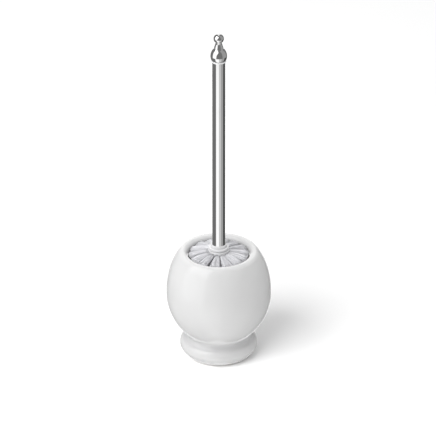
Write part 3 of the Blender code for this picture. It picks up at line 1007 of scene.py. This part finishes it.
# %% Tube
TUBE_WALL = 0.8
inner = TUBE_RADIUS - TUBE_WALL
tube_corners = [
    (inner, tube_low.z, 0.2), (TUBE_RADIUS, tube_low.z, 0.25),
    (TUBE_RADIUS, tube_high.z, 0.25), (inner, tube_high.z, 0.2),
]
add_piece("chromed_tube", turned(filleted(tube_corners), 256), chrome, "handle", "handle_tube")

# %% [markdown]
# ## Screws and plugs
#
# The handle comes off by turning, so there is a screw under it. The head holds an M8 stud and the
# plug in the tube's foot is its nut; an M6 stud does the same for the finial. A screw thread is one
# wave that climbs as it goes round: its phase is height over pitch minus the turn. The stud and its
# plug use the same wave in the same place, and it stays so as the handle climbs by one pitch a turn.
# The stud's grooves are cut inwards and the plug's outwards, so the two clear each other by 0.3 mm
# at the crests. Real threads would interlock, but nothing of that shows.

# %% Screw thread
THREAD_STEPS = 12               # points for each turn of the thread
THREAD_DEPTH = 0.61             # of the pitch, as on metric screws
THREAD_SLOPE, THREAD_FLAT = 1.35, 0.15   # steeper flanks, cut off at crest and root
ON_WALL = 0.01


def threaded(pitch, radius, side):
    """A change for turned(): wave the wall that starts at this radius, side -1 for a stud, 1 for a nut.

    The wave is 0 on the crest and 1 at the root. It fades out over one pitch at both ends.
    """
    def change(radii, heights, turn):
        phase = heights / pitch - turn / tau
        saw = np.abs(2 * (phase - np.floor(phase)) - 1)
        wave = np.clip(THREAD_SLOPE * saw - THREAD_FLAT, 0, 1)
        low, high = heights[np.abs(radii[:, 0] - radius) < ON_WALL][[0, -1], 0]
        low, high = min(low, high), max(low, high)
        fade = smooth_step(low, low + pitch, heights) * smooth_step(high, high - pitch, heights)
        wall = np.abs(radii - radius) < ON_WALL
        return np.where(wall, radii + side * THREAD_DEPTH * pitch * wave * fade, radii)
    return change


def wall_run(radius, start, stop, pitch):
    """Points up or down a threaded wall."""
    count = int(abs(stop - start) / pitch * THREAD_STEPS)
    return np.stack([np.full(count, radius), np.linspace(start, stop, count)], axis=1)


# %% Zinc
def write_zinc(tree):
    """Zinc plate with the faint yellow and blue of its passivation."""
    tint = tree.noise(3.5)
    grain = tree.noise(0.12, detail=3.0)
    return {
        "Base Color": tree.mix(tint, paint(205, red=4, blue=-8), paint(208, red=-3, blue=6)),
        "Metallic": 1.0,
        "Roughness": grain * 0.2 + 0.24,
        "Normal": tree.bump(grain, 0.004),
    }


zinc = principled("zinc_plate", write_zinc)


def stud_outline(radius, low, high, pitch):
    """A rod with chamfered ends and a wall to cut the thread in."""
    tip = 0.7
    return np.concatenate([
        [(0, low), (radius - tip, low)], wall_run(radius, low + tip, high - tip, pitch),
        [(radius - tip, high), (0, high)],
    ])


STUDS = (
    ("head_stud", "threaded_stud", "brush_head", 1.25), ("finial_stud", "finial_screw", "finial", 1.0),
)
for node, name, body, pitch in STUDS:
    low, high = (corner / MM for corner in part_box(node))
    shape = turned(stud_outline(high.x, low.z, high.z, pitch), 72, threaded(pitch, high.x, -1))
    add_piece(name, shape, zinc, body, node)

# %% Plugs
PLUGS = (
    ("tube_bottom_plug", "bottom_plug", 4.3, 1.25, False), ("tube_top_plug", "top_plug", 3.3, 1.0, True),
)
BORE_DEPTH = 16.0


def plug_outline(radius, low, high, bore, pitch, opens_up):
    """A moulded plug with two shallow grip grooves and a blind bore for the thread."""
    mouth, depth = (high, high - BORE_DEPTH) if opens_up else (low, low + BORE_DEPTH)
    groove_z = [low + (high - low) * share for share in (0.33, 0.67)]
    outer = [(radius, low, 0.5)]
    for middle in groove_z:
        outer += [(radius, middle - 0.8, 0.1), (radius - 0.5, middle, 0.2), (radius, middle + 0.8, 0.1)]
    outer.append((radius, high, 0.5))
    corners = [(0, low, 0)] + outer + [(0, high, 0)]
    shell = filleted(corners, closed=False)
    bore_wall = wall_run(bore, mouth, depth, pitch)
    if opens_up:
        return np.concatenate([shell[:-1], bore_wall, [(0, depth)]])
    return np.concatenate([[(0, depth)], bore_wall[::-1], shell[1:]])


for node, name, bore, pitch, opens_up in PLUGS:
    low, high = (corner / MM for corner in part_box(node))
    outline = plug_outline(high.x, low.z, high.z, bore, pitch, opens_up)
    add_piece(name, turned(outline, 96, threaded(pitch, bore, 1)), plastic, "handle", node)

# %% [markdown]
# ## Washer and finial
#
# A rounded plastic washer closes the tube, so that chrome never grinds on chrome, and a turned
# finial crowns it: a full bulb, a neck that tapers upwards, and a slightly flattened ball.

# %% Washer
washer_low, washer_high = (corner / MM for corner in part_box("finial_washer"))
SCREW_HOLE = 3.3
washer_corners = [
    (SCREW_HOLE, washer_low.z, 0.2), (washer_high.x, washer_low.z, 0.8),
    (washer_high.x, washer_high.z, 0.8), (SCREW_HOLE, washer_high.z, 0.2),
]
washer_shape = turned(filleted(washer_corners, steps=9), 192)
add_piece("round_washer", washer_shape, plastic, "finial_washer", "finial_washer")

# %% Finial
finial_low, finial_high = (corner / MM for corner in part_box("finial"))
BASE_RADIUS = 8.7
BULB_RADIUS, BULB_DROP = finial_high.x, 5.5
BULB_RISE, BULB_POWER, BULB_SHOULDER = 9.0, 1.7, 5.6
NECK = ((5.5, 17.4), (3.6, 23.9))       # radius, and height above the finial's base
BALL_RADIUS, BALL_HALF_HEIGHT, BALL_DROP_POWER = 6.4, 5.8, 2.4
BALL_MID = finial_high.z - finial_low.z - BALL_HALF_HEIGHT
SCREW_SET = 10.3
BULB_END = radians(75)
BALL_START = 0.1                # past the ball's meeting with the neck


def finial_outline():
    """Bore, base, bulb, neck and ball, from the bore's end to the top of the ball."""
    base = finial_low.z
    bulb_z = base + BULB_DROP
    low = arc((BASE_RADIUS, bulb_z), (BULB_RADIUS - BASE_RADIUS, BULB_DROP), -pi / 2, 0, 16)
    reach = (BULB_RADIUS - BULB_SHOULDER, BULB_RISE)
    high = arc((BULB_SHOULDER, bulb_z), reach, 0, BULB_END, 24, BULB_POWER)
    neck = np.array(NECK) + (0, base)
    start = -arc_angle((BALL_MID - NECK[1][1]) / BALL_HALF_HEIGHT, BALL_DROP_POWER) + BALL_START
    middle, reach = (0, base + BALL_MID), (BALL_RADIUS, BALL_HALF_HEIGHT)
    ball = np.concatenate([
        arc(middle, reach, start, 0, 16, BALL_DROP_POWER), arc(middle, reach, 0, pi / 2, 18)[1:],
    ])
    ball[-1, 0] = 0
    bore = [
        (0, base + SCREW_SET), (SCREW_HOLE, base + SCREW_SET),
        (SCREW_HOLE, base + 0.2), (SCREW_HOLE + 0.2, base),
    ]
    return np.concatenate([
        bore, low, high[1:], blend(high, neck, 10), neck, blend(neck, ball, 3, 0.3), ball
    ])


add_piece("turned_finial", turned(finial_outline(), 192), chrome, "finial", "finial")

# %% [markdown]
#
# The looks must not change the object's size. The box of the solids and the box of what shows now
# are written side by side.

# %% Sizes and finish
seen_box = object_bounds()
for name, box in (("cad", cad_box), ("visual", seen_box)):
    print(name, [[round(value * 1000, 2) for value in corner] for corner in box])
